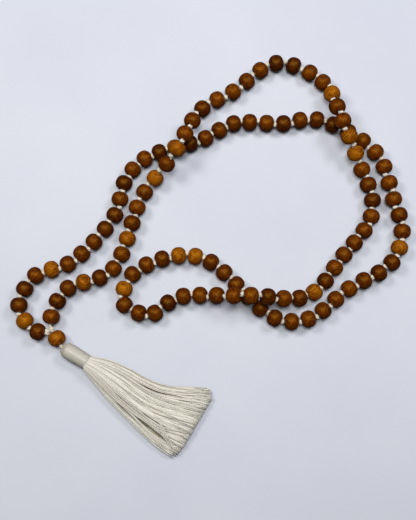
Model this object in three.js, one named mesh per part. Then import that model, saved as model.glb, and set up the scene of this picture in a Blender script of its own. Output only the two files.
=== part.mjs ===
// A knotted wooden mala: 108 counting beads and a guru bead on one cord, with a cotton tassel.
// It lies on a table, laid double so that the strand crosses over itself three times.
// Millimetres, +Z up. The table is z = 0 and the origin is under the middle of the whole piece.
//
// The cord is knotted between every two beads, so each bead can turn but can't slide. The beads
// on the two quarters next to the guru bead are separate solids on a bored fit. The sixty beads
// of the far half are threaded runs: twelve beads, their knots and their cord in one solid.

import * as THREE from 'three';

// ---- Driving dimensions ----

const BEAD_COUNT = 108;
const BEAD_DIAMETER = 8;
const BEAD_LENGTH = 6.9; // along the hole
const BORE_DIAMETER = 2;
const BEAD_FACE_DIAMETER = 3.8; // the flat ring around each end of the hole
const BEAD_SHOULDER = { diameter: 7.4, offset: 2.2 };

const CORD_DIAMETER = 1;
const KNOT_DIAMETER = 2.1;
const CLEARANCE = 0.3; // between solids that touch on the real piece

const FREE_BEADS = 24; // separate beads at each end of the strand
const RUN_BEADS = 12; // beads in each threaded run

const CLOSING_KNOT_DIAMETER = 2.2; // ties both ends of the strand together above the guru bead
const FIRST_BEAD_FROM_KNOT = 6.6; // closing knot to the middle of bead 1
const LAST_BEAD_FROM_KNOT = 5.8; // closing knot to the middle of bead 108
const FIRST_KNOT_FROM_CLOSING = 2.2; // the second knot, beside the closing knot

const GURU_ANGLE = -60; // degrees in plan, along the hole from the closing knot to the tassel
const GURU_FROM_KNOT = 4.85; // closing knot to the middle of the guru bead
const TASSEL_KNOT_FROM_GURU = 4.5;
const TASSEL_KNOT_DIAMETER = 1.4;

const TASSEL_ANGLE = -30.5; // degrees in plan
const TASSEL_AXIS_HEIGHT = 3.6;
const TASSEL_HEAD_START = 0.95; // all tassel stations are measured from its knot
const TASSEL_CORE_RADIUS = 2.05;
const NECK_WRAP = { start: 1.9, end: 13.6, outer: 3.5, inner: 2.4 };

// The skirt of threads fans out flat and a little to one side:
// [station, offset to the upper side, half width, half thickness].
const SKIRT = [
  [13.9, -0.3, 3, 3],
  [16, -0.3, 3.9, 3.1],
  [20, -0.3, 5.6, 3],
  [30, -1, 8.1, 2.8],
  [41, -2.2, 9.9, 2.5],
  [49, -2.6, 11.5, 2.3],
  [56, -1.9, 13.7, 2.1],
  [63, -0.5, 16, 1.9],
  [68.5, 0.7, 17.6, 1.8],
  [71, 0.3, 14.5, 1.7],
];

const STRAND_SIDES = 8;
const TASSEL_SIDES = 16;

// ---- The strand's route ----
// In plan, from the closing knot round both loops and back to it, through the middle of the beads.

const ROUTE = [
  [-73.6, -37.2],
  [-80.3, -38.2],
  [-89, -27.5],
  [-82, -12.5],
  [-66, -6.5],
  [-45.5, 16],
  [-41, 32],
  [-32, 43],
  [-3.5, 53],
  [10.5, 60.5],
  [34, 60.5],
  [49.5, 62.5],
  [77.5, 46.5],
  [85.5, 23.5],
  [89, 8.5],
  [83.5, -6.5],
  [63.5, -18.5],
  [44.5, -32.5],
  [29, -32],
  [-1.5, -5.5],
  [-15.5, -3],
  [-36.5, -11.5],
  [-41, -25],
  [-28.5, -30.5],
  [-15.5, -22.5],
  [15.5, -22.5],
  [45, -21.5],
  [60, -4.5],
  [75.5, 19],
  [60.5, 60.5],
  [54, 80],
  [31.5, 90.5],
  [10, 76],
  [-4.5, 67.5],
  [-17, 44.5],
  [-32, 26.5],
  [-46.5, -10],
  [-67.5, -19],
  [-74, -31.5],
  [-73.6, -37.2],
].map(([x, y]) => new THREE.Vector3(x, y, BEAD_DIAMETER / 2));

// Where the strand's second half climbs over its first half, in plan.
const CROSSINGS = [[-14.5, 49], [61, 58.5], [17.5, -22.5]].map(([x, y]) => new THREE.Vector2(x, y));
const CROSSING_RISE = 8.7;
const CROSSING_REACH = 26; // from the top of the climb down to the table

// The knots are tied by hand, so the beads drift from even spacing: [bead, distance further on].
const KNOTTING = [
  [1, 0],
  [13, 1],
  [22, -1.2],
  [33, 0.7],
  [47, 1.3],
  [57, 0.6],
  [66, -0.8],
  [75, -4],
  [85, -5],
  [93, 0],
  [99, 1.4],
  [108, 0],
];

const strand = new THREE.CatmullRomCurve3(ROUTE, false, 'centripetal');
strand.arcLengthDivisions = 3000;
const STRAND_LENGTH = strand.getLength();
const PITCH = (STRAND_LENGTH - FIRST_BEAD_FROM_KNOT - LAST_BEAD_FROM_KNOT) / (BEAD_COUNT - 1);
const UP = new THREE.Vector3(0, 0, 1);
const HALF_BEAD = BEAD_LENGTH / 2;
const CORD_RADIUS = CORD_DIAMETER / 2;

// ---- Materials ----

const wood = new THREE.MeshStandardMaterial({ color: '#8a4a1c', roughness: 0.45, metalness: 0 });
const cordCotton = new THREE.MeshStandardMaterial({ color: '#d9c9a8', roughness: 0.9, metalness: 0 });
const tasselCotton = new THREE.MeshStandardMaterial({ color: '#ece3cd', roughness: 0.8, metalness: 0 });

// ---- Places along the strand ----

// Distance along the strand to the middle of a bead, which is numbered from 1.
function beadStation(number) {
  const next = KNOTTING.findIndex(([bead]) => bead > number);
  const [fromBead, fromSlip] = KNOTTING[(next < 0 ? KNOTTING.length : next) - 1];
  const [toBead, toSlip] = KNOTTING[next < 0 ? KNOTTING.length - 1 : next];
  const share = toBead > fromBead ? (number - fromBead) / (toBead - fromBead) : 0;
  const slip = THREE.MathUtils.lerp(fromSlip, toSlip, share);
  return FIRST_BEAD_FROM_KNOT + (number - 1) * PITCH + slip;
}

// The middle of the cord at a distance along the strand's plan.
function pointAt(station) {
  const share = THREE.MathUtils.clamp(station / STRAND_LENGTH, 0, 1);
  const point = strand.getPointAt(share);
  if (share > 0.5) {
    for (const crossing of CROSSINGS) {
      const away = Math.min(Math.hypot(point.x - crossing.x, point.y - crossing.y) / CROSSING_REACH, 1);
      point.z += CROSSING_RISE * (1 + Math.cos(Math.PI * away)) / 2;
    }
  }
  return point;
}

// A place on the strand: its middle, the cord's direction, and the directions to its side and up.
function placeAt(station) {
  const step = 0.4;
  const along = pointAt(station + step).sub(pointAt(station - step)).normalize();
  return orient(pointAt(station), along);
}

function orient(middle, along) {
  const side = new THREE.Vector3().crossVectors(along, UP).normalize();
  const up = new THREE.Vector3().crossVectors(side, along);
  return { middle, along, side, up };
}

const beads = [];
for (let number = 1; number <= BEAD_COUNT; number++) {
  beads.push({ number, station: beadStation(number), ...placeAt(beadStation(number)) });
}

// The cord runs straight through each bead. It bends only between two beads and at the closing
// knot.
function threadedPlace(station) {
  const nearest = beads.reduce((a, b) => (
    Math.abs(b.station - station) < Math.abs(a.station - station) ? b : a
  ));
  const offset = station - nearest.station;
  if (Math.abs(offset) <= HALF_BEAD + 0.001) {
    return orient(faceOf(nearest, offset), nearest.along);
  }
  const way = Math.sign(offset);
  const start = faceOf(nearest, way * HALF_BEAD);
  const other = beads[nearest.number - 1 + way];
  if (!other) {
    const closingKnot = way < 0 ? 0 : STRAND_LENGTH;
    const toKnot = Math.abs(closingKnot - nearest.station) - HALF_BEAD;
    return orient(start.lerp(ROUTE[0], (Math.abs(offset) - HALF_BEAD) / toKnot), nearest.along);
  }
  const gap = Math.abs(other.station - nearest.station) - BEAD_LENGTH;
  const share = (Math.abs(offset) - HALF_BEAD) / gap;
  const end = faceOf(other, -way * HALF_BEAD);
  const along = nearest.along.clone().lerp(other.along, share).normalize();
  return orient(start.lerp(end, share), along);
}

function faceOf(bead, offset) {
  return bead.middle.clone().addScaledVector(bead.along, offset);
}

// ---- Profiles, as [radius, distance along the cord] ----

function beadOutline(station) {
  // The flats lie inside the round bead and the corners outside it, which keeps its size.
  const corner = (1 + 1 / Math.cos(Math.PI / STRAND_SIDES)) / 2;
  return [
    [BEAD_FACE_DIAMETER / 2, station - HALF_BEAD],
    [BEAD_SHOULDER.diameter / 2 * corner, station - BEAD_SHOULDER.offset],
    [BEAD_DIAMETER / 2 * corner, station],
    [BEAD_SHOULDER.diameter / 2 * corner, station + BEAD_SHOULDER.offset],
    [BEAD_FACE_DIAMETER / 2, station + HALF_BEAD],
  ];
}

function lathe(outline, sides) {
  const points = outline.map(([radius, along]) => new THREE.Vector2(radius, along));
  return new THREE.LatheGeometry(points, sides, Math.PI / sides);
}

// Bends a lathed solid so that its own Y axis follows the strand.
function threadOnStrand(geometry) {
  const position = geometry.attributes.position;
  const vertex = new THREE.Vector3();
  for (let i = 0; i < position.count; i++) {
    vertex.fromBufferAttribute(position, i);
    const place = threadedPlace(vertex.y);
    const bent = place.middle.clone();
    bent.addScaledVector(place.side, vertex.x);
    bent.addScaledVector(place.up, vertex.z);
    position.setXYZ(i, bent.x, bent.y, bent.z);
  }
  return geometry;
}

// ---- Sub-parts ----

const mala = new THREE.Group();

function addPart(name, geometry, material) {
  const mesh = new THREE.Mesh(geometry, material);
  mesh.name = name;
  mala.add(mesh);
  return mesh;
}

function boredBeadGeometry() {
  const outline = beadOutline(0);
  const bore = BORE_DIAMETER / 2;
  return lathe([[bore, -HALF_BEAD], ...outline, [bore, HALF_BEAD], [bore, -HALF_BEAD]], STRAND_SIDES);
}

function addBead(name, place) {
  const bead = addPart(name, boredBeadGeometry(), wood);
  bead.position.copy(place.middle);
  bead.quaternion.setFromRotationMatrix(
    new THREE.Matrix4().makeBasis(place.side, place.along, place.up),
  );
}

function knotAfter(number) {
  return [KNOT_DIAMETER / 2, (beadStation(number) + beadStation(number + 1)) / 2];
}

function cordThroughBead(number) {
  return [
    [CORD_RADIUS, beadStation(number) - HALF_BEAD],
    [CORD_RADIUS, beadStation(number) + HALF_BEAD],
  ];
}

// The end of a stretch of cord, just short of the next bead's face.
function endBefore(number) {
  const station = beadStation(number) - HALF_BEAD - CLEARANCE;
  return [[CORD_RADIUS, station], [0, station]];
}

// The closing knot, the knot beside it, then cord and knots as far as the first threaded run.
function addFirstCord() {
  const ball = CLOSING_KNOT_DIAMETER / 2;
  const outline = [
    [0, -ball],
    [ball * 0.75, -ball * 0.65],
    [ball, 0],
    [CORD_RADIUS * 1.2, ball],
    [KNOT_DIAMETER / 2, FIRST_KNOT_FROM_CLOSING],
  ];
  for (let number = 1; number <= FREE_BEADS; number++) {
    outline.push(...cordThroughBead(number), knotAfter(number));
  }
  outline.push(...endBefore(FREE_BEADS + 1));
  addPart('knotted_cord_start', threadOnStrand(lathe(outline, STRAND_SIDES)), cordCotton);
}

function addLastCord() {
  const first = BEAD_COUNT - FREE_BEADS + 1;
  const outline = [[0, beadStation(first) - HALF_BEAD]];
  for (let number = first; number <= BEAD_COUNT; number++) {
    outline.push(...cordThroughBead(number));
    if (number < BEAD_COUNT) {
      outline.push(knotAfter(number));
    }
  }
  const end = STRAND_LENGTH - CLOSING_KNOT_DIAMETER / 2 - CLEARANCE;
  const face = beadStation(BEAD_COUNT) + HALF_BEAD;
  outline.push([CORD_RADIUS * 1.6, (face + end) / 2], [CORD_RADIUS, end], [0, end]);
  addPart('knotted_cord_end', threadOnStrand(lathe(outline, STRAND_SIDES)), cordCotton);
}

function addRun(index) {
  const first = FREE_BEADS + 1 + index * RUN_BEADS;
  const last = first + RUN_BEADS - 1;
  const outline = [[0, beadStation(first) - HALF_BEAD]];
  for (let number = first; number <= last; number++) {
    outline.push(...beadOutline(beadStation(number)), knotAfter(number));
  }
  outline.push(...endBefore(last + 1));
  addPart(`threaded_run_${first}_to_${last}`, threadOnStrand(lathe(outline, STRAND_SIDES)), wood);
}

function addFreeBeads() {
  for (const bead of beads) {
    if (bead.number <= FREE_BEADS || bead.number > BEAD_COUNT - FREE_BEADS) {
      addBead(`bead_${String(bead.number).padStart(3, '0')}`, bead);
    }
  }
}

// A direction in plan, from an angle in degrees.
function inPlan(angle) {
  const turn = THREE.MathUtils.degToRad(angle);
  return new THREE.Vector3(Math.cos(turn), Math.sin(turn), 0);
}

const guruPlace = orient(
  ROUTE[0].clone().addScaledVector(inPlan(GURU_ANGLE), GURU_FROM_KNOT),
  inPlan(GURU_ANGLE),
);
const tasselKnot = guruPlace.middle.clone().addScaledVector(guruPlace.along, TASSEL_KNOT_FROM_GURU);

function addHangingCord() {
  const outline = [[0, -HALF_BEAD], [CORD_RADIUS, -HALF_BEAD], [CORD_RADIUS, HALF_BEAD], [0, HALF_BEAD]];
  const cord = addPart('hanging_cord', lathe(outline, STRAND_SIDES), cordCotton);
  cord.position.copy(guruPlace.middle);
  cord.quaternion.setFromRotationMatrix(
    new THREE.Matrix4().makeBasis(guruPlace.side, guruPlace.along, guruPlace.up),
  );
}

function addTasselKnot() {
  const knot = addPart('tassel_knot', new THREE.IcosahedronGeometry(TASSEL_KNOT_DIAMETER / 2, 1), cordCotton);
  knot.position.copy(tasselKnot);
}

// Lays a lathed solid down along the tassel's axis, on the table beside its knot.
function layTassel(mesh) {
  const along = inPlan(TASSEL_ANGLE);
  const place = orient(new THREE.Vector3(tasselKnot.x, tasselKnot.y, TASSEL_AXIS_HEIGHT), along);
  mesh.position.copy(place.middle);
  mesh.quaternion.setFromRotationMatrix(new THREE.Matrix4().makeBasis(place.side, along, place.up));
}

// One hank of threads: a rounded head, a core inside the neck winding, and the fanned skirt.
function addTasselThreads() {
  const core = [
    [0, TASSEL_HEAD_START],
    [TASSEL_CORE_RADIUS * 0.7, TASSEL_HEAD_START + 0.2],
    [TASSEL_CORE_RADIUS, NECK_WRAP.start],
    [TASSEL_CORE_RADIUS, NECK_WRAP.end + CLEARANCE - 0.05],
  ];
  const tip = SKIRT[SKIRT.length - 1][0];
  const outline = [...core, ...SKIRT.map(([station]) => [1, station]), [0, tip]];
  const geometry = lathe(outline, TASSEL_SIDES);
  const position = geometry.attributes.position;
  for (let i = 0; i < position.count; i++) {
    const row = SKIRT.find(([station]) => Math.abs(station - position.getY(i)) < 0.001);
    if (row) {
      const [, offset, halfWidth, halfThickness] = row;
      const lowered = halfThickness - TASSEL_AXIS_HEIGHT;
      position.setX(i, position.getX(i) * halfWidth - offset);
      position.setZ(i, position.getZ(i) * halfThickness + lowered);
    }
  }
  layTassel(addPart('tassel_threads', geometry, tasselCotton));
}

function addNeckWrap() {
  const { start, end, outer, inner } = NECK_WRAP;
  const outline = [
    [inner, start],
    [outer - 0.5, start],
    [outer, start + 1.3],
    [outer, end - 0.6],
    [outer - 0.2, end],
    [inner, end],
    [inner, start],
  ];
  layTassel(addPart('tassel_neck_wrap', lathe(outline, TASSEL_SIDES), tasselCotton));
}

addBead('guru_bead', guruPlace);
addHangingCord();
addTasselKnot();
addTasselThreads();
addNeckWrap();
addFirstCord();
addLastCord();
addFreeBeads();
for (let index = 0; index * RUN_BEADS < BEAD_COUNT - 2 * FREE_BEADS; index++) {
  addRun(index);
}

export default mala;
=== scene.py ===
# A knotted wooden mala: 108 turned beads and a guru bead on one cotton cord, with a cotton tassel.
# It lies on a table, laid double, so that the strand crosses over itself three times.
# Metres, +Z up, in the part's own frame, with the table at z = 0.

import math

import bpy
import numpy as np
from mathutils import Matrix, Vector


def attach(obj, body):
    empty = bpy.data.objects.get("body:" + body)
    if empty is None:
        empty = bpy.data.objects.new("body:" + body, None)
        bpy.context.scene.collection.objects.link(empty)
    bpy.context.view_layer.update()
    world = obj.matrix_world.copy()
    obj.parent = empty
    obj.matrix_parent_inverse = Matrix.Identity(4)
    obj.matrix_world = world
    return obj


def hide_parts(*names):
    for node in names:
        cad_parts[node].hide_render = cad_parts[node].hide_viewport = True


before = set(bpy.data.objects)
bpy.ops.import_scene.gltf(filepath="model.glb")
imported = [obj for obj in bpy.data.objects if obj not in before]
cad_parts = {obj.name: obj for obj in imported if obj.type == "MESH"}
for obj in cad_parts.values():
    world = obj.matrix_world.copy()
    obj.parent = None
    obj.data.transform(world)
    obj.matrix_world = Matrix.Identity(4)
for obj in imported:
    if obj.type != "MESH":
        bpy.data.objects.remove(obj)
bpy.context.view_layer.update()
rng = np.random.default_rng(108)

MM = 0.001
UP = np.array([0.0, 0.0, 1.0])

# ---- Sizes of the beads and the cord ----

BEAD_COUNT = 108
BEAD_RADIUS = 4 * MM
HALF_BEAD = 3.45 * MM  # half its length along the hole
BORE_RADIUS = 0.95 * MM
FREE_BEADS = 24  # beads at each end of the strand that turn on joints of their own
RUN_BEADS = 12  # beads in each threaded run between them

CORD_DIAMETER = 1 * MM
KNOT_RADIUS = 1.35 * MM
SECOND_KNOT_RADIUS = 1.7 * MM  # the knot beside the closing knot
TASSEL_KNOT_RADIUS = 0.85 * MM
FIRST_BEAD_FROM_KNOT = 6.6 * MM  # closing knot to the middle of bead 1
LAST_BEAD_FROM_KNOT = 5.8 * MM  # closing knot to the middle of bead 108
SECOND_KNOT_FROM_CLOSING = 2.2 * MM

GURU_ANGLE = math.radians(-60)
GURU_FROM_KNOT = 4.85 * MM
TASSEL_KNOT_FROM_GURU = 4.5 * MM
TASSEL_ANGLE = math.radians(-30.5)

# ---- The strand's route, in plan, from the closing knot round both loops and back to it ----

ROUTE = [
    (-0.0736, -0.0372), (-0.0803, -0.0382), (-0.0890, -0.0275), (-0.0820, -0.0125),
    (-0.0660, -0.0065), (-0.0455, 0.0160), (-0.0410, 0.0320), (-0.0320, 0.0430),
    (-0.0035, 0.0530), (0.0105, 0.0605), (0.0340, 0.0605), (0.0495, 0.0625),
    (0.0775, 0.0465), (0.0855, 0.0235), (0.0890, 0.0085), (0.0835, -0.0065),
    (0.0635, -0.0185), (0.0445, -0.0325), (0.0290, -0.0320), (-0.0015, -0.0055),
    (-0.0155, -0.0030), (-0.0365, -0.0115), (-0.0410, -0.0250), (-0.0285, -0.0305),
    (-0.0155, -0.0225), (0.0155, -0.0225), (0.0450, -0.0215), (0.0600, -0.0045),
    (0.0755, 0.0190), (0.0605, 0.0605), (0.0540, 0.0800), (0.0315, 0.0905),
    (0.0100, 0.0760), (-0.0045, 0.0675), (-0.0170, 0.0445), (-0.0320, 0.0265),
    (-0.0465, -0.0100), (-0.0675, -0.0190), (-0.0740, -0.0315), (-0.0736, -0.0372),
]
# The second half of the strand climbs over the first half here.
CROSSINGS = [(-0.0145, 0.0490), (0.0610, 0.0585), (0.0175, -0.0225)]
CROSSING_RISE = 8.7 * MM
CROSSING_REACH = 26 * MM  # from the crossing to where the climb starts
# The knots are tied by hand, so the beads drift from even spacing: (bead, millimetres further on).
KNOTTING = [
    (1, 0), (13, 1), (22, -1.2), (33, 0.7), (47, 1.3), (57, 0.6), (66, -0.8), (75, -4), (85, -5),
    (93, 0), (99, 1.4), (108, 0),
]


def smooth_line(points, steps=80):
    """A fine line along the centripetal Catmull-Rom curve through the points."""
    points = np.array(points)
    padded = np.vstack([2 * points[0] - points[1], points, 2 * points[-1] - points[-2]])
    gaps = np.sqrt(np.linalg.norm(np.diff(padded, axis=0), axis=1))[:, None]
    p0, p1, p2, p3 = (x[:, None, :] for x in (padded[:-3], padded[1:-2], padded[2:-1], padded[3:]))
    d0, d1, d2 = (x[:, None, :] for x in (gaps[:-2], gaps[1:-1], gaps[2:]))
    leave = ((p1 - p0) / d0 - (p2 - p0) / (d0 + d1) + (p2 - p1) / d1) * d1
    arrive = ((p2 - p1) / d1 - (p3 - p1) / (d1 + d2) + (p3 - p2) / d2) * d1
    t = (np.arange(steps) / steps)[None, :, None]
    line = p1 + leave * t + (3 * (p2 - p1) - 2 * leave - arrive) * t**2
    line = line + (2 * (p1 - p2) + leave + arrive) * t**3
    return np.vstack([line.reshape(-1, points.shape[1]), points[-1]])


plan = smooth_line(ROUTE)
travelled = np.concatenate([[0], np.cumsum(np.linalg.norm(np.diff(plan, axis=0), axis=1))])
STRAND_LENGTH = travelled[-1]
PITCH = (STRAND_LENGTH - FIRST_BEAD_FROM_KNOT - LAST_BEAD_FROM_KNOT) / (BEAD_COUNT - 1)


def strand_at(stations):
    """The middle of the cord at these distances along the strand's plan."""
    stations = np.clip(np.asarray(stations, float), 0, STRAND_LENGTH)
    x = np.interp(stations, travelled, plan[:, 0])
    y = np.interp(stations, travelled, plan[:, 1])
    height = np.full_like(x, BEAD_RADIUS)
    for middle_x, middle_y in CROSSINGS:
        away = np.minimum(np.hypot(x - middle_x, y - middle_y) / CROSSING_REACH, 1)
        climb = CROSSING_RISE * (1 + np.cos(np.pi * away)) / 2
        height = height + np.where(stations > STRAND_LENGTH / 2, climb, 0)
    return np.stack([x, y, height], axis=-1)


def bead_station(number):
    """Distance along the strand to the middle of a bead, or of the knot between two beads."""
    drift = np.interp(number, *zip(*KNOTTING)) * MM
    return FIRST_BEAD_FROM_KNOT + (number - 1) * PITCH + drift


def place(middle, along):
    """A 4 x 4 place whose Y axis runs along the cord, with X to its side and Z upwards."""
    along = along / np.linalg.norm(along)
    side = np.cross(along, UP)
    side = side / np.linalg.norm(side)
    found = np.eye(4)
    found[:3, 0], found[:3, 1], found[:3, 2], found[:3, 3] = side, along, np.cross(side, along), middle
    return found


def place_on_strand(station):
    step = 0.4 * MM  # to each side, to find which way the cord runs
    return place(strand_at(station), strand_at(station + step) - strand_at(station - step))


def in_plan(angle):
    """The level direction at this angle from +X."""
    return np.array([math.cos(angle), math.sin(angle), 0.0])


CLOSING_KNOT = strand_at(0)
GURU = place(CLOSING_KNOT + GURU_FROM_KNOT * in_plan(GURU_ANGLE), in_plan(GURU_ANGLE))
TASSEL_KNOT = GURU[:3, 3] + TASSEL_KNOT_FROM_GURU * in_plan(GURU_ANGLE)

# ---- Camera ----


def aim(thing, where, target):
    """Puts a camera or a light here and turns it to its target."""
    thing.location = where
    thing.rotation_euler = (Vector(target) - Vector(where)).to_track_quat("-Z", "Y").to_euler()


def add_camera():
    camera = bpy.data.objects.new("camera", bpy.data.cameras.new("camera"))
    bpy.context.scene.collection.objects.link(camera)
    camera.data.lens = 58.5
    camera.data.clip_start = 0.01
    target = Vector((-0.00175, -0.0045, 0))
    distance = 0.397
    elevation = math.radians(82)
    towards_camera = Vector((0, -math.cos(elevation), math.sin(elevation)))
    aim(camera, target + distance * towards_camera, target)
    bpy.context.scene.camera = camera


add_camera()

# ---- Materials ----


def linear(hex_colour):
    """An sRGB hex colour as the linear numbers that shaders take."""
    parts = [int(hex_colour[i:i + 2], 16) / 255 for i in (1, 3, 5)]
    return [*((c / 12.92 if c <= 0.04045 else ((c + 0.055) / 1.055) ** 2.4) for c in parts), 1.0]


def feed(material, node, inputs):
    """Sets a node's inputs, by name or by number, to values or to other nodes' outputs."""
    for name, value in inputs.items():
        if isinstance(value, bpy.types.NodeSocket):
            material.node_tree.links.new(value, node.inputs[name])
        else:
            node.inputs[name].default_value = value


def add(material, kind, inputs=None, stops=None, **settings):
    """Adds a node with its inputs, its colour stops and its other settings."""
    made = material.node_tree.nodes.new("ShaderNode" + kind)
    for name, value in settings.items():
        setattr(made, name, value)
    feed(material, made, inputs or {})
    for index, (position, hex_colour) in enumerate(stops or []):
        ramp = made.color_ramp.elements
        element = ramp[index] if index < 2 else ramp.new(position)
        element.position, element.color = position, linear(hex_colour)
    return made


def new_material(name):
    """A material and its Principled shader."""
    material = bpy.data.materials.new(name)
    material.use_nodes = True
    return material, material.node_tree.nodes["Principled BSDF"]


def turned_stained_wood():
    """Hardwood turned round, stained orange-brown and rubbed to a satin sheen. Fine darker grain
    lines run through each bead at its own slant, and the stain takes deeper in some beads."""
    material, shader = new_material("turned_stained_wood")
    grain = add(material, "Attribute", attribute_name="grain").outputs["Vector"]
    tone = add(material, "Attribute", attribute_name="tone").outputs["Fac"]
    ring_spacing = 1.0  # millimetres from one growth ring to the next
    bands_per_unit = 20 / math.tau  # of a wave texture at scale 1
    rings = add(material, "TexWave", {
        "Vector": grain, "Scale": 1 / (bands_per_unit * ring_spacing), "Distortion": 5.0,
        "Detail": 3.0, "Detail Scale": 0.6,
    }, wave_type="BANDS", bands_direction="X", wave_profile="SIN")
    # Fibres and pores are set by how many fit in a millimetre across, along and across the grain.
    fibre_place = add(material, "Mapping", {"Vector": grain, "Scale": (4.5, 0.7, 4.5)})
    fibres = add(material, "TexNoise", {"Vector": fibre_place.outputs[0], "Scale": 1.0, "Detail": 4.0})
    pore_place = add(material, "Mapping", {"Vector": grain, "Scale": (2.6, 0.9, 2.6)})
    pores = add(material, "TexVoronoi", {"Vector": pore_place.outputs[0], "Scale": 1.0})
    clouds = add(material, "TexNoise", {"Vector": grain, "Scale": 0.45, "Detail": 3.0})
    depth = tone
    for pattern, share in [(rings, 0.15), (fibres, 0.46), (clouds, 0.45)]:
        depth = add(material, "Math", {0: pattern.outputs["Fac"], 1: share, 2: depth},
                    operation="MULTIPLY_ADD").outputs[0]
    stain = add(material, "ValToRGB", {"Fac": depth}, stops=[
        (0.39, "#1e0900"), (0.62, "#491c02"), (0.84, "#773902"), (1.0, "#a8640b"),
    ])
    pore = add(material, "Math", {0: pores.outputs["Distance"], 1: 0.2}, operation="LESS_THAN")
    colour = add(material, "Mix", {0: pore.outputs[0], 6: stain.outputs[0], 7: linear("#240b02")},
                 data_type="RGBA")
    rough = add(material, "MapRange", {"Value": fibres.outputs["Fac"], "To Min": 0.36, "To Max": 0.5})
    bump = add(material, "Bump", {
        "Height": fibres.outputs["Fac"], "Strength": 0.12, "Distance": 0.05 * MM,
    })
    feed(material, shader, {
        "Base Color": colour.outputs[2], "Roughness": rough.outputs[0], "Normal": bump.outputs[0],
        "IOR": 1.5, "Specular IOR Level": 0.9, "Specular Tint": linear("#e09a35"),
    })
    return material


def cotton(name, shade, light, ply, roughness, gloss):
    """Cotton yarn. Its plies wind round it and show as fine slanting lines, ply millimetres apart,
    with painted shade in the grooves between them.
    """
    # Painted shade: the groove between two plies is coloured darker than the top of a ply.
    painted_groove_shade = 0.18  # how much lighter the top of a ply is than the groove beside it
    material, shader = new_material(name)
    laid = add(material, "UVMap", uv_map="round_and_along").outputs["UV"]
    apart = add(material, "SeparateXYZ", {0: laid})
    round_and_up = add(material, "Math", {0: apart.outputs["Y"], 1: 1 / ply, 2: apart.outputs["X"]},
                       operation="MULTIPLY_ADD")
    turns = add(material, "Math", {0: round_and_up.outputs[0], 1: math.tau}, operation="MULTIPLY")
    ridge = add(material, "Math", {0: turns.outputs[0]}, operation="SINE")
    height = add(material, "MapRange", {"Value": ridge.outputs[0], "From Min": -1.0})
    tone = add(material, "Attribute", attribute_name="tone").outputs["Fac"]
    # The colour mixes each piece's random tone with this painted groove shade.
    tone_and_painted_shade = add(material, "Math", {0: height.outputs[0], 1: painted_groove_shade, 2: tone},
              operation="MULTIPLY_ADD")
    colour = add(material, "Mix", {0: tone_and_painted_shade.outputs[0], 6: linear(shade), 7: linear(light)},
                 data_type="RGBA")
    rough = add(material, "MapRange", {
        "Value": height.outputs[0], "To Min": roughness + 0.1, "To Max": roughness,
    })
    bump = add(material, "Bump", {
        "Height": height.outputs[0], "Strength": 0.5, "Distance": 0.06 * MM,
    })
    feed(material, shader, {
        "Base Color": colour.outputs[2], "Roughness": rough.outputs[0], "Normal": bump.outputs[0],
        "IOR": 1.47, "Specular IOR Level": gloss, "Sheen Weight": 0.2, "Sheen Roughness": 0.4,
    })
    return material


def painted_board():
    """Matt white paint on a board, a little cold and very slightly uneven."""
    material, shader = new_material("painted_board")
    where = add(material, "TexCoord").outputs["Object"]
    uneven = add(material, "TexNoise", {"Vector": where, "Scale": 14.0, "Detail": 4.0})
    colour = add(material, "ValToRGB", {"Fac": uneven.outputs["Fac"]},
                 stops=[(0.3, "#dbe0ee"), (0.7, "#e2e7f3")])
    feed(material, shader, {"Base Color": colour.outputs[0], "Roughness": 0.7})
    return material


WOOD = turned_stained_wood()
# Natural cotton cord, twisted from two plies and matt: cream knots with slanting ridges.
CORD = cotton("twisted_cotton_cord", "#dcd5c0", "#faf6e9", ply=1.1, roughness=0.75, gloss=0.4)
# Combed cotton thread with a slight gloss: fine cream lines. Its dark colour is painted shade on the
# threads low in the skirt, which show darker where threads part; on the other threads it only deepens
# their random tone.
THREAD = cotton("combed_cotton_thread", "#6b5f38", "#faf8ee", ply=1.0, roughness=0.5, gloss=0.5)
# The same thread wound tight round the neck, smooth enough to shine softly.
WOUND = cotton("wound_cotton_thread", "#b4b1a1", "#f3f0e6", ply=0.9, roughness=0.28, gloss=1.0)

# ---- Meshes ----


def finish_piece(piece, material, body, replaced=()):
    """Gives a piece its material, its body and the nodes that it stands for."""
    bpy.context.scene.collection.objects.link(piece)
    piece.data.materials.append(material)
    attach(piece, body)
    if replaced:
        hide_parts(*replaced)
    return piece


def new_mesh(name, corners, faces, uvs=None, values=None):
    """A smooth mesh. uvs has one pair for each face corner, and values one entry for each point."""
    mesh = bpy.data.meshes.new(name)
    mesh.from_pydata([tuple(c) for c in corners], [], [tuple(f) for f in faces])
    mesh.polygons.foreach_set("use_smooth", [True] * len(mesh.polygons))
    if uvs is not None:
        layer = mesh.uv_layers.new(name="round_and_along")
        layer.data.foreach_set("uv", np.asarray(uvs, np.float32).ravel())
    for label, numbers in (values or {}).items():
        numbers = np.asarray(numbers, np.float32)
        is_vector = numbers.ndim == 2
        attribute = mesh.attributes.new(label, "FLOAT_VECTOR" if is_vector else "FLOAT", "POINT")
        attribute.data.foreach_set("vector" if is_vector else "value", numbers.ravel())
    mesh.update()
    return mesh


def quad_faces(rows, sides, closed):
    """Faces between rows of points, each a ring of sides points, facing outwards along a tube."""
    row = np.arange(rows if closed else rows - 1)[:, None]
    column = np.arange(sides)[None, :]
    here, ahead = row * sides, (row + 1) % rows * sides
    beside = (column + 1) % sides
    return np.stack([here + column, ahead + column, ahead + beside, here + beside], -1).reshape(-1, 4)


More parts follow.
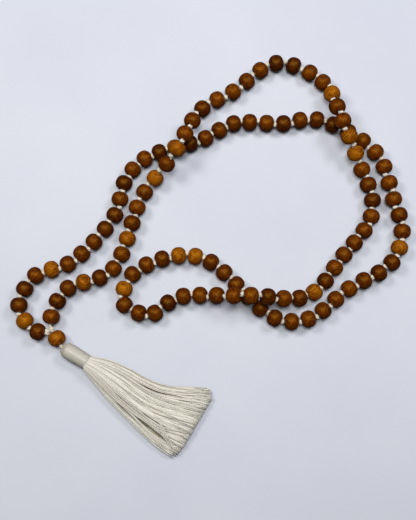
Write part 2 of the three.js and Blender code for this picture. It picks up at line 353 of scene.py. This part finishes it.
class Tubes:
    """Round tubes gathered into one mesh, which knows how far round and along each point lies."""

    def __init__(self):
        self.corners, self.faces, self.uvs, self.tones, self.count = [], [], [], [], 0

    def add(self, points, radius, sides, facing, tone, closed=False):
        """A tube along points. facing is never along it: one direction, or one at each point."""
        points = np.asarray(points, float)
        if closed:
            along = np.roll(points, -1, axis=0) - np.roll(points, 1, axis=0)
        else:
            along = np.gradient(points, axis=0)
        along /= np.linalg.norm(along, axis=1)[:, None]
        side = np.cross(along, facing)
        side /= np.linalg.norm(side, axis=1)[:, None]
        front = np.cross(side, along)
        angle = math.tau * np.arange(sides) / sides
        ring = np.cos(angle)[None, :, None] * side[:, None, :]
        ring = ring + np.sin(angle)[None, :, None] * front[:, None, :]
        size = np.broadcast_to(radius, len(points))[:, None, None]
        self.corners.append((points[:, None, :] + size * ring).reshape(-1, 3))
        faces = quad_faces(len(points), sides, closed)
        steps = np.linalg.norm(np.diff(np.vstack([points, points[:1]]), axis=0), axis=1) / MM
        far = np.concatenate([[0], np.cumsum(steps)])
        row, column = np.divmod(np.arange(len(faces)), sides)
        left, right = column / sides, (column + 1) / sides
        uv = np.stack([left, far[row], left, far[row + 1], right, far[row + 1], right, far[row]], -1)
        self.faces += (faces + self.count).tolist()
        self.uvs.append(uv.reshape(-1, 2))
        if not closed:
            last = self.count + (len(points) - 1) * sides
            self.faces.append(list(range(self.count, self.count + sides)))
            self.faces.append(list(range(last + sides - 1, last - 1, -1)))
            self.uvs.append(np.repeat([[0.5, 0.0], [0.5, far[-2]]], sides, axis=0))
        self.tones.append(np.full(len(points) * sides, tone))
        self.count += len(points) * sides

    def mesh(self, name):
        return new_mesh(name, np.vstack(self.corners), self.faces, np.vstack(self.uvs),
                        {"tone": np.concatenate(self.tones)})


def moved(points, where):
    """Points given in a place's own axes, taken to where that place is."""
    return points @ where[:3, :3].T + where[:3, 3]


# ---- Beads ----

DARK_BEADS = {4, 11, 13, 16, 18, 24, 27, 38, 60, 66, 70, 76, 86, 87, 107}
DARKISH_BEADS = {1, 3, 10, 20, 21, 22, 26, 34, 37, 45, 48, 53, 59, 68, 77, 92, 100, 104, 106}
LIGHT_BEADS = {2, 6, 17, 36, 51, 52, 56, 69, 79, 80, 83, 95, 97, 101, 105}
LIGHTEST, USUAL, DARKISH, DARKEST = 0.38, 0.20, 0.12, 0.06


def bead_outline():
    """[radius, distance along the hole] from lip to lip over the outside, and back down the bore."""
    fullness = 2.3  # a ball is 2, and a higher number is squarer
    ball_half = 3.62 * MM  # where the rounded outside would meet the axis
    lip = math.asin((HALF_BEAD / ball_half) ** (fullness / 2))
    angle = np.linspace(-lip, lip, 23)
    radius = BEAD_RADIUS * np.cos(angle) ** (2 / fullness)
    along = ball_half * np.sign(angle) * np.abs(np.sin(angle)) ** (2 / fullness)
    countersink = [(1.36, 3.48), (1.22, 3.42), (1.0, 3.12), (BORE_RADIUS / MM, 2.9)]  # millimetres
    top = [(r * MM, a * MM) for r, a in countersink]
    bottom = [(r, -a) for r, a in reversed(top)]
    return np.array([*zip(radius, along), *top, (BORE_RADIUS, 0), *bottom])


def bead_mesh(name, tone):
    """One turned bead, a little uneven, with its own cut through the grain."""
    sides = 40
    outline = bead_outline() * (1 - rng.uniform(0, 0.012), 1 - rng.uniform(0, 0.02))
    radius, along = outline[:, 0, None], outline[:, 1, None]
    angle = math.tau * np.arange(sides)[None, :] / sides
    lobes = rng.normal(0, 0.0022, 3)  # how far it is from round, with 2, 3 and 4 high places
    start = rng.uniform(0, math.tau, 3)
    uneven = 1 + sum(lobes[k] * np.cos((k + 2) * angle + start[k]) for k in range(3))
    across, up = radius * uneven * np.cos(angle), radius * uneven * np.sin(angle)
    corners = np.stack([across, along + 0 * angle, up], -1).reshape(-1, 3)
    faces = quad_faces(len(outline), sides, closed=True)
    turn = np.linalg.qr(rng.normal(size=(3, 3)))[0]
    grain = corners / MM @ turn.T + rng.uniform(-40, 40, 3)
    return new_mesh(name, corners, faces, values={"grain": grain, "tone": np.full(len(corners), tone)})


def bead_tone(number):
    """How light the stain came out on this bead."""
    for beads, tone in [(LIGHT_BEADS, LIGHTEST), (DARK_BEADS, DARKEST), (DARKISH_BEADS, DARKISH)]:
        if number in beads:
            return tone + rng.uniform(-0.03, 0.05)
    return USUAL + rng.uniform(-0.05, 0.05)


def add_bead(name, tone, where, body, node):
    piece = bpy.data.objects.new(name, bead_mesh(name, tone))
    piece.matrix_world = Matrix(where.tolist())
    finish_piece(piece, WOOD, body, [node])


def add_beads():
    """The counting beads. The free ones turn on the cord, and the others lie still on it."""
    for number in range(1, BEAD_COUNT + 1):
        label = f"{number:03d}"
        where = place_on_strand(bead_station(number))
        if number <= FREE_BEADS or number > BEAD_COUNT - FREE_BEADS:
            node, body = f"bead_{label}", f"turning_bead_{label}"
        else:
            first = number - (number - FREE_BEADS - 1) % RUN_BEADS
            node, body = f"threaded_run_{first}_to_{first + RUN_BEADS - 1}", "root"
        add_bead(f"turned_bead_{label}", bead_tone(number), where, body, node)
    add_bead("turned_guru_bead", LIGHTEST, GURU, "guru", "guru_bead")


# ---- Cord and knots ----


def knot_line(size):
    """A trefoil drawn tight, the shape of an overhand knot, round the Y axis."""
    middle, swing, rise = 0.44, 0.19, 0.25  # of the cord's middle line, as shares of the knot's radius
    t = math.tau * np.arange(54) / 54
    radius = size * (middle + swing * np.cos(3 * t))
    return np.stack([radius * np.cos(2 * t), size * rise * np.sin(3 * t), radius * np.sin(2 * t)], -1)


def add_knot(tubes, where, size):
    """One knot, tied either way round and turned at random."""
    cord_share = 0.37  # the cord's radius, as a share of the knot's
    spin = rng.uniform(0, math.tau)
    flip = rng.choice([-1, 1])
    line = knot_line(size * rng.uniform(0.95, 1.06))
    turned = np.stack([
        math.cos(spin) * line[:, 0] - math.sin(spin) * line[:, 2],
        flip * line[:, 1],
        math.sin(spin) * line[:, 0] + math.cos(spin) * line[:, 2],
    ], -1)
    across = turned * (1, 0, 1)
    outward = turned - 0.5 * size * across / np.linalg.norm(across, axis=1)[:, None]
    along = np.roll(turned, -1, axis=0) - np.roll(turned, 1, axis=0)
    facing = np.cross(along, np.cross(outward + 0.3 * turned, along))
    tubes.add(moved(turned, where), cord_share * size, sides=10, facing=facing @ where[:3, :3].T,
              tone=rng.uniform(0.3, 0.7), closed=True)


def add_knots():
    """The knots between the beads, tied in the cord itself and joined here a dozen at a time, and
    the two that close the strand."""
    pieces = []
    for first in range(1, BEAD_COUNT, RUN_BEADS):
        tubes = Tubes()
        last = min(first + RUN_BEADS, BEAD_COUNT) - 1
        for number in range(first, last + 1):
            where = place_on_strand(bead_station(number + 0.5))
            aside = rng.choice([-1, 1]) * rng.uniform(0.4, 0.9) * MM
            raised = rng.uniform(0.1, 0.5) * MM
            where[:3, 3] += aside * where[:3, 0] + raised * where[:3, 2]
            add_knot(tubes, where, KNOT_RADIUS)
        name = f"knots_{first:03d}_to_{last:03d}"
        piece = bpy.data.objects.new(name, tubes.mesh(name))
        pieces.append(finish_piece(piece, CORD, "root"))
    tubes = Tubes()
    add_knot(tubes, place(CLOSING_KNOT, in_plan(GURU_ANGLE)), KNOT_RADIUS)
    beside = place_on_strand(SECOND_KNOT_FROM_CLOSING)
    beside[1, 3] -= 0.7 * MM  # it lies on the tassel's side of the strand
    add_knot(tubes, beside, SECOND_KNOT_RADIUS)
    closing = bpy.data.objects.new("closing_knot", tubes.mesh("closing_knot"))
    pieces.append(finish_piece(closing, CORD, "root"))
    return pieces


def add_cord(knots):
    """The one cord through all 108 beads, from the closing knot back to it."""
    line = [CLOSING_KNOT]
    for number in range(1, BEAD_COUNT + 1):
        bead = place_on_strand(bead_station(number))
        line += [bead[:3, 3] + share * HALF_BEAD * bead[:3, 1] for share in (-1, -0.33, 0.33, 1)]
        if number < BEAD_COUNT:
            line.append(strand_at(bead_station(number + 0.5)))
    line.append(line[-1] + 0.8 * (CLOSING_KNOT - line[-1]))  # inside the closing knot
    line = np.array(line)
    curve = bpy.data.curves.new("strand_cord", "CURVE")
    curve.dimensions = "3D"
    curve.bevel_depth = CORD_DIAMETER / 2
    curve.bevel_resolution = 3
    curve.use_fill_caps = True
    spline = curve.splines.new("POLY")
    spline.points.add(len(line) - 1)
    spline.points.foreach_set("co", np.hstack([line, np.ones((len(line), 1))]).ravel())
    spline.use_smooth = True
    cord = bpy.data.objects.new("strand_cord", curve)
    finish_piece(cord, CORD, "root", ["knotted_cord_start", "knotted_cord_end"])


def add_hanging_cord():
    """Both ends of the cord, twisted together through the guru bead to the tassel's knot."""
    strand_radius = 0.42 * MM
    lay_length = 4 * MM  # in which each end goes once round the other
    far = np.linspace(0.5 * MM, GURU_FROM_KNOT + TASSEL_KNOT_FROM_GURU - 0.2 * MM, 40)
    tubes = Tubes()
    for start in (0, math.pi):
        angle = start + math.tau * far / lay_length
        side = strand_radius * np.cos(angle)[:, None] * GURU[:3, 0]
        rise = strand_radius * np.sin(angle)[:, None] * GURU[:3, 2]
        line = CLOSING_KNOT + far[:, None] * GURU[:3, 1] + side + rise
        tubes.add(line, strand_radius, sides=8, facing=UP, tone=0.5)
    piece = bpy.data.objects.new("twisted_hanging_cord", tubes.mesh("twisted_hanging_cord"))
    finish_piece(piece, CORD, "guru_drop", ["hanging_cord"])


# ---- Tassel ----
# Its points are (along, across, height) in millimetres: along from its knot, across to its left.

TASSEL = np.eye(4)
TASSEL[:3, 0] = in_plan(TASSEL_ANGLE)
TASSEL[:3, 1] = in_plan(TASSEL_ANGLE + math.pi / 2)
TASSEL[:3, 3] = (TASSEL_KNOT[0], TASSEL_KNOT[1], 0)

# [along, radius, height of the axis], in millimetres: the rounded head and the wound neck.
NECK = np.array([
    (0.4, 1.3, 3.85), (0.55, 1.7, 3.85), (0.95, 2.3, 3.85), (1.6, 2.9, 3.84), (2.7, 3.5, 3.82),
    (4.5, 3.75, 3.79), (7.5, 3.68, 3.74), (10.5, 3.55, 3.66), (13.6, 3.4, 3.6),
])
NECK_TONE = 0.35  # 0 is the thread's shade and 1 is its light colour
WINDING_START, WINDING_END = 2.3, NECK[-1, 0]
WINDING_SPACING = 0.42  # from one turn of thread to the next
WINDING_DEPTH = 0.1  # of the grooves between turns
WINDING_WALL = 0.55  # its thickness
WINDING_ROUNDING = 0.15  # at its two edges
HEAD_FOLDS = 40  # ridges round the head, where the threads fold over
HEAD_FOLD_DEPTH = 0.07

# [along, across, half width, half thickness, height], in millimetres: the fan of threads.
SKIRT = np.array([
    (11.8, -0.1, 2.5, 2.4, 3.5), (13.5, -0.2, 2.9, 2.8, 3.5), (14.3, -0.3, 3.6, 3.25, 3.4),
    (16.5, -0.3, 4.4, 3.2, 3.25), (20, -0.25, 5.8, 3.0, 3.0), (30, -1.0, 8.4, 2.8, 2.8),
    (41, -2.25, 10.2, 2.5, 2.5), (49, -2.6, 11.8, 2.3, 2.3), (56, -1.85, 14.0, 2.1, 2.1),
    (63, -0.45, 16.3, 1.9, 1.9), (69, 0.8, 17.9, 1.75, 1.75), (71.5, 1.15, 18.4, 1.7, 1.7),
])
SKIRT_END = SKIRT[-1, 0]
THREAD_COUNT = 880
THREAD_RADIUS = 0.2
THREAD_SIDES = 6
LOCK_COUNT = 60  # groups of threads that cling together

# Where the skirt parts: [from, to, place across at each end as a share of the half width, opening],
# with from, to and opening in millimetres.
PARTINGS = [
    (36, 60, 0.54, 0.70, 0.9),
    (32, 51, -0.79, -0.73, 1.2),
    (44, 68, -0.60, -0.75, 2.0),
    (27, 50, -0.49, -0.43, 0.5),
    (41, 66, -0.32, -0.41, 0.8),
    (50, 70, 0.02, 0.06, 0.4),
    (23, 40, -0.64, -0.63, 0.5),
    (49, 68, 0.30, 0.35, 0.3),
]

# Loose threads on top of the skirt: [place across and drift, as shares of the half width, and how
# far along, in millimetres, the thread starts to cross its neighbours].
STRAYS = [
    (-0.35, -0.30, 40), (-0.42, -0.38, 46), (-0.28, -0.55, 50), (-0.60, 0.20, 42),
    (-0.48, 0.16, 50), (-0.70, -0.14, 34), (-0.52, -0.34, 52), (0.15, 0.10, 40),
    (0.45, -0.10, 36), (-0.1, 0.12, 50), (-0.66, 0.10, 46), (-0.45, -0.50, 56),
]


def through(rows, column, along):
    """A smooth curve through one column of a table whose first column is the place along."""
    x, y = rows[:, 0], rows[:, column]
    slope = np.gradient(y, x)
    i = np.clip(np.searchsorted(x, along) - 1, 0, len(x) - 2)
    width = x[i + 1] - x[i]
    t = np.clip((along - x[i]) / width, 0, 1)
    start = y[i] * (1 + 2 * t) * (1 - t) ** 2 + slope[i] * width * t * (1 - t) ** 2
    end = y[i + 1] * t**2 * (3 - 2 * t) + slope[i + 1] * width * t**2 * (t - 1)
    return start + end


def round_the_neck(along, radius, sides, name, ripple):
    """A closed shell round the neck's axis. ripple adds to the radius at each place and angle."""
    angle = math.tau * np.arange(sides)[None, :] / sides
    along, radius = along[:, None], radius[:, None]
    size = radius + ripple(along, angle)
    height = through(NECK, 2, along) + size * np.sin(angle)
    shell = np.stack([along + 0 * angle, size * np.cos(angle), height], -1).reshape(-1, 3) * MM
    faces = quad_faces(len(along), sides, closed=True)[:, ::-1]
    row, column = np.divmod(np.arange(len(faces)), sides)
    place_along = np.append(along[:, 0], along[0, 0])
    left, right = column / sides, (column + 1) / sides
    low, high = place_along[row], place_along[row + 1]
    uvs = np.stack([left, low, right, low, right, high, left, high], -1).reshape(-1, 2)
    return new_mesh(name, moved(shell, TASSEL), faces, uvs, {"tone": np.full(len(shell), NECK_TONE)})


def add_head():
    """The head, whose threads fold over round the knot."""
    hollow = [(1.2, 0.2), (0.95, 0.5), (0.6, 1.0)]  # [along, radius], round the knot
    inside = [(3.6, 1.5), (1.7, 0.2)]  # [along, radius], under the winding
    steps = np.concatenate([np.linspace(0.4, 2.1, 16), [2.8, 3.6]])
    under_winding = 0.06 * (steps > WINDING_START)
    dome = np.stack([steps, through(NECK, 1, steps) - under_winding], -1)
    along, radius = np.vstack([hollow, dome, inside]).T

    def folds(along, angle):
        on_outside = radius[:, None] > 1.5
        return HEAD_FOLD_DEPTH * np.cos(HEAD_FOLDS * angle) * on_outside

    head = round_the_neck(along, radius, sides=192, name="tassel_head", ripple=folds)
    piece = bpy.data.objects.new("tassel_head", head)
    finish_piece(piece, THREAD, "tassel")


def add_winding():
    """The thread wound round the neck, which holds the others."""
    steps = np.arange(WINDING_START, WINDING_END, WINDING_SPACING / 6)
    radius = through(NECK, 1, steps)
    edges = np.array([WINDING_END, WINDING_END, WINDING_START, WINDING_START])
    edge_depths = np.array([WINDING_ROUNDING, WINDING_WALL, WINDING_WALL, WINDING_ROUNDING])
    edge_radii = radius[[-1, -1, 0, 0]] - edge_depths

    def turns(along, angle):
        phase = along / WINDING_SPACING + angle / math.tau
        groove = WINDING_DEPTH * (np.abs(np.sin(math.pi * phase)) - 1)
        on_outside = np.arange(len(along))[:, None] < len(steps)
        return np.where(on_outside, groove, 0)

    winding = round_the_neck(np.concatenate([steps, edges]), np.concatenate([radius, edge_radii]),
                             sides=72, name="neck_winding", ripple=turns)
    piece = bpy.data.objects.new("neck_winding", winding)
    finish_piece(piece, WOUND, "tassel", ["tassel_neck_wrap"])


def sway(along, size, lengths):
    """A slow random drift from side to side, as a sum of waves of these lengths."""
    total = np.zeros_like(along)
    for length in lengths:
        wave = np.sin(math.tau * along / length + rng.uniform(0, math.tau))
        total += rng.normal(0, size) * length / lengths[0] * wave
    return total


def ease(x, start, end):
    """Rises smoothly from 0 at start to 1 at end."""
    t = np.clip((x - start) / (end - start), 0, 1)
    return t * t * (3 - 2 * t)


def part(along, across, share):
    """Moves a thread out of each parting, to the side on which it mostly lies. share is how far it
    follows, and it is 0 for the threads at the bottom of the skirt, which show in the parting."""
    middle, half = through(SKIRT, 1, along), through(SKIRT, 2, along)
    for start, end, near, far, opening in PARTINGS:
        t = np.clip((along - start) / (end - start), 0, 1)
        line = middle + half * (near + (far - near) * t)
        inside = (t > 0) & (t < 1)
        side = 1 if np.sum((across - line)[inside]) >= 0 else -1
        away = side * (across - line)
        swell = np.sin(math.pi * t)
        push = opening / 2 * swell ** 0.8 * share
        strayed = np.minimum(away, 0) * (1 - swell * share)
        pushed = np.hypot(np.maximum(away, 0), push) + strayed
        across = np.where(inside, line + side * pushed, across)
    return across


def thread_line(p, q, lock, hold, end):
    """One thread of the fan. p and q are its place in the skirt's round section, from -1 to 1."""
    near_neck = [11.8, 12.8, 13.6, 14.2, 15.2, 16.8, 18.8]
    along = np.concatenate([near_neck, np.linspace(21.3, end, 22)])
    middle, half = through(SKIRT, 1, along), through(SKIRT, 2, along)
    thick, height = through(SKIRT, 3, along), through(SKIRT, 4, along)
    grip = hold * ease(along, 16, 46)  # how far it is drawn to the middle of its lock
    loose = ease(along, 15, 43)  # how free it is of the winding
    p_here = p + (lock[0] - p) * grip + rng.normal(0, 0.035) * ease(along, 16, 70)
    q_here = q + (lock[1] - q) * grip * 0.7
    across = middle + half * p_here + sway(along, 0.05, [13, 29]) * loose
    across = across + rng.normal(0, 0.5) * ease(along, end - 14, end)  # its cut end leans aside
    across = part(along, across, ease(q, -0.6, -0.15))
    rise = height + (thick - THREAD_RADIUS) * q_here + sway(along, 0.03, [9, 19]) * loose
    return np.stack([along, across, np.maximum(rise, THREAD_RADIUS)], -1)


def crossing_thread(p, drift, start):
    """A loose thread on top of the skirt that slants across its neighbours."""
    line = thread_line(p, 0.93, (p, 0.9), 0.0, SKIRT_END - rng.uniform(0.5, 3))
    along = line[:, 0]
    share = ease(along, start, SKIRT_END)
    half, thick = through(SKIRT, 2, along), through(SKIRT, 3, along)
    line[:, 1] += drift * half * share
    fullness = 1 - np.abs(np.clip(p + drift * share, -1, 1)) ** 3
    clearance = 0.15  # above the threads it lies on
    top = thick * (1 + np.sqrt(np.maximum(fullness, 0.15))) + clearance
    line[:, 2] = np.where(share > 0, top, line[:, 2])
    return line


def add_skirt():
    """Hundreds of cut threads, clinging in locks and lying in a flat fan on the table."""
    golden = math.pi * (3 - math.sqrt(5))  # the turn that spreads points evenly over a disc
    lock_index = np.arange(LOCK_COUNT) + 0.5
    lock_far = np.sqrt(lock_index / LOCK_COUNT)
    lock_angle = golden * lock_index
    locks = np.stack([lock_far * np.cos(lock_angle), lock_far * np.sin(lock_angle)], -1)
    locks *= 1 - 0.04 * rng.random((LOCK_COUNT, 1))
    holds = rng.uniform(0.05, 0.4, LOCK_COUNT)
    lower, upper = Tubes(), Tubes()
    for number in range(THREAD_COUNT):
        far = math.sqrt((number + 0.5) / THREAD_COUNT)
        p = far * math.cos(golden * number) + rng.normal(0, 0.012)
        q = far * math.sin(golden * number)
        nearest = int(np.argmin(np.hypot(locks[:, 0] - p, locks[:, 1] - q)))
        # The fan's corners are cut round, and one thread in eight is well short of the rest.
        corner = 3.2 * ease(p, 0.68, 1.0) + 2.0 * ease(-p, 0.6, 1.0)
        short = rng.exponential(1.0) + (rng.uniform(1, 5) if rng.random() < 0.12 else 0)
        line = thread_line(p, q, locks[nearest], holds[nearest], SKIRT_END - corner - short)
        tubes = upper if q > 0 else lower
        # Threads inside the lower half are coloured darker as painted shade, and the layer round the
        # outside isn't.
        painted_lighting = max(ease(q, -0.55, -0.05), ease(far, 0.86, 0.93))
        radius = THREAD_RADIUS * rng.uniform(0.88, 1.1) * MM
        tone = painted_lighting * (0.95 - 0.65 * rng.random() ** 2)
        tubes.add(moved(line * MM, TASSEL), radius, THREAD_SIDES, UP, tone)
    strays = Tubes()
    for p, drift, start in STRAYS:
        line = crossing_thread(p, drift, start)
        strays.add(moved(line * MM, TASSEL), THREAD_RADIUS * MM, THREAD_SIDES, UP,
                   rng.uniform(0.4, 0.9))
    for name, tubes, replaced in [
        ("skirt_threads_lower", lower, ["tassel_threads"]),
        ("skirt_threads_upper", upper, ["tassel_threads"]),
        ("skirt_stray_threads", strays, []),
    ]:
        piece = bpy.data.objects.new(name, tubes.mesh(name))
        finish_piece(piece, THREAD, "tassel", replaced)


def add_tassel_knot():
    """The knot that the tassel hangs from, and the loop of cord from it into the tassel's head."""
    tubes = Tubes()
    add_knot(tubes, place(TASSEL_KNOT, in_plan(GURU_ANGLE)), TASSEL_KNOT_RADIUS)
    knot = bpy.data.objects.new("tied_tassel_knot", tubes.mesh("tied_tassel_knot"))
    finish_piece(knot, CORD, "tassel_loop", ["tassel_knot"])
    tubes = Tubes()
    middle, half_length, half_width, cord_radius = 0.9, 1.15, 0.5, 0.3  # millimetres
    t = math.tau * np.arange(28) / 28
    along, across = middle + half_length * np.cos(t), half_width * np.sin(t)
    loop = np.stack([along, across, NECK[0, 2] + 0 * t], -1) * MM
    tubes.add(moved(loop, TASSEL), cord_radius * MM, sides=8, facing=UP, tone=0.5, closed=True)
    piece = bpy.data.objects.new("tassel_loop_cord", tubes.mesh("tassel_loop_cord"))
    finish_piece(piece, CORD, "tassel")


add_cord(add_knots())
add_beads()
add_hanging_cord()
add_tassel_knot()
add_head()
add_winding()
add_skirt()

# ---- Floor and light ----


def add_floor():
    """A plain pale board. It throws no light back up, so that the beads stay dark below."""
    half = 1.5
    corners = [(-half, -half, 0), (half, -half, 0), (half, half, 0), (-half, half, 0)]
    mesh = bpy.data.meshes.new("floor")
    mesh.from_pydata(corners, [], [(0, 1, 2, 3)])
    mesh.materials.append(painted_board())
    floor = bpy.data.objects.new("floor", mesh)
    bpy.context.scene.collection.objects.link(floor)
    floor.visible_diffuse = floor.visible_glossy = False


def add_light(name, where, size, watts, hex_colour):
    """A soft round lamp, size metres across, turned to the middle of the strand."""
    lamp = bpy.data.lights.new(name, "AREA")
    lamp.shape, lamp.size = "DISK", size
    lamp.energy = watts
    lamp.color = linear(hex_colour)[:3]
    light = bpy.data.objects.new(name, lamp)
    bpy.context.scene.collection.objects.link(light)
    aim(light, where, (0, 0, 0))


def add_lights():
    add_light("overhead", (0.0, 0.06, 0.70), 0.30, 2.3, "#fffdf9")
    add_light("window_left", (-0.34, 0.22, 0.52), 0.22, 1.35, "#fffaf4")
    add_light("window_right", (0.32, 0.28, 0.52), 0.22, 1.15, "#fbfbff")
    world = bpy.data.worlds.new("studio")
    world.use_nodes = True
    world.node_tree.nodes["Background"].inputs["Color"].default_value = linear("#eceef6")
    world.node_tree.nodes["Background"].inputs["Strength"].default_value = 0.07
    bpy.context.scene.world = world
    bpy.context.scene.view_settings.view_transform = "Standard"


add_floor()
add_lights()
